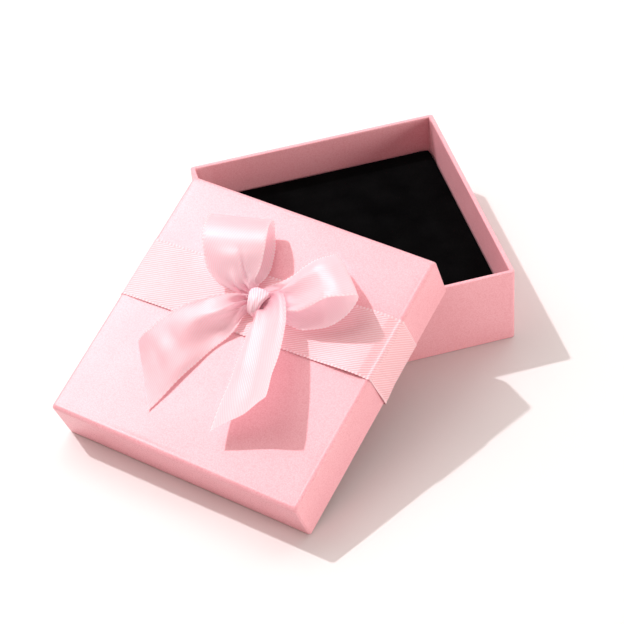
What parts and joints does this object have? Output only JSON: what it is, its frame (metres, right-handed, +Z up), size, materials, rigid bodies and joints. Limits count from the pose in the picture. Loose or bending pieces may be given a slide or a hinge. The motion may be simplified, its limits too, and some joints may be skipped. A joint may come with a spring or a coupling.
{
  "type": "jewelry gift box",
  "caption": "Square two-piece rigid board gift box with a velvet pad, and a lid leaning open on the tray, tied with a satin ribbon band and bow.",
  "frame": {"origin": "centre of the tray's underside, on the surface that the box stands on", "axes": "+Z up; +X and +Y along the tray's square sides, with the lid leaning on the tray's -X -Y corner"},
  "size_m": [0.1505, 0.1502, 0.0531],
  "materials": {
    "greyboard": "matte",
    "paper_tape": "matte",
    "pink_paper": "satin",
    "lining_paper": "matte",
    "foam": "matte",
    "black_velvet": "matte",
    "satin_ribbon": "satin",
    "hot_glue": "satin"
  },
  "bodies": {
    "tray": {"tray_floor_board": "greyboard", "tray_right_wall_board": "greyboard", "tray_back_wall_board": "greyboard", "tray_left_wall_board": "greyboard", "tray_front_wall_board": "greyboard", "tray_corner_stays": "paper_tape", "tray_wrap_paper": "pink_paper", "tray_base_paper": "pink_paper", "tray_floor_lining": "lining_paper"},
    "pad": {"pad_foam": "foam", "pad_velvet_cover": "black_velvet"},
    "lid": {"lid_top_board": "greyboard", "lid_right_wall_board": "greyboard", "lid_back_wall_board": "greyboard", "lid_left_wall_board": "greyboard", "lid_front_wall_board": "greyboard", "lid_corner_stays": "paper_tape", "lid_wrap_paper": "pink_paper", "lid_lining": "lining_paper", "ribbon_band": "satin_ribbon", "bow_knot": "satin_ribbon", "bow_loop_left": "satin_ribbon", "bow_loop_right": "satin_ribbon", "bow_tail_left": "satin_ribbon", "bow_tail_right": "satin_ribbon", "bow_glue_dot": "hot_glue"}
  },
  "joints": [
    {"name": "pad_lift", "type": "slide", "parent": "tray", "child": "pad", "axis": [0, 0, 1], "range_m": [0, 0.045]},
    {"name": "lid_lift", "type": "slide", "parent": "pad", "child": "lid", "axis": [0, 0, 1], "range_m": [0, 0.06]}
  ]
}
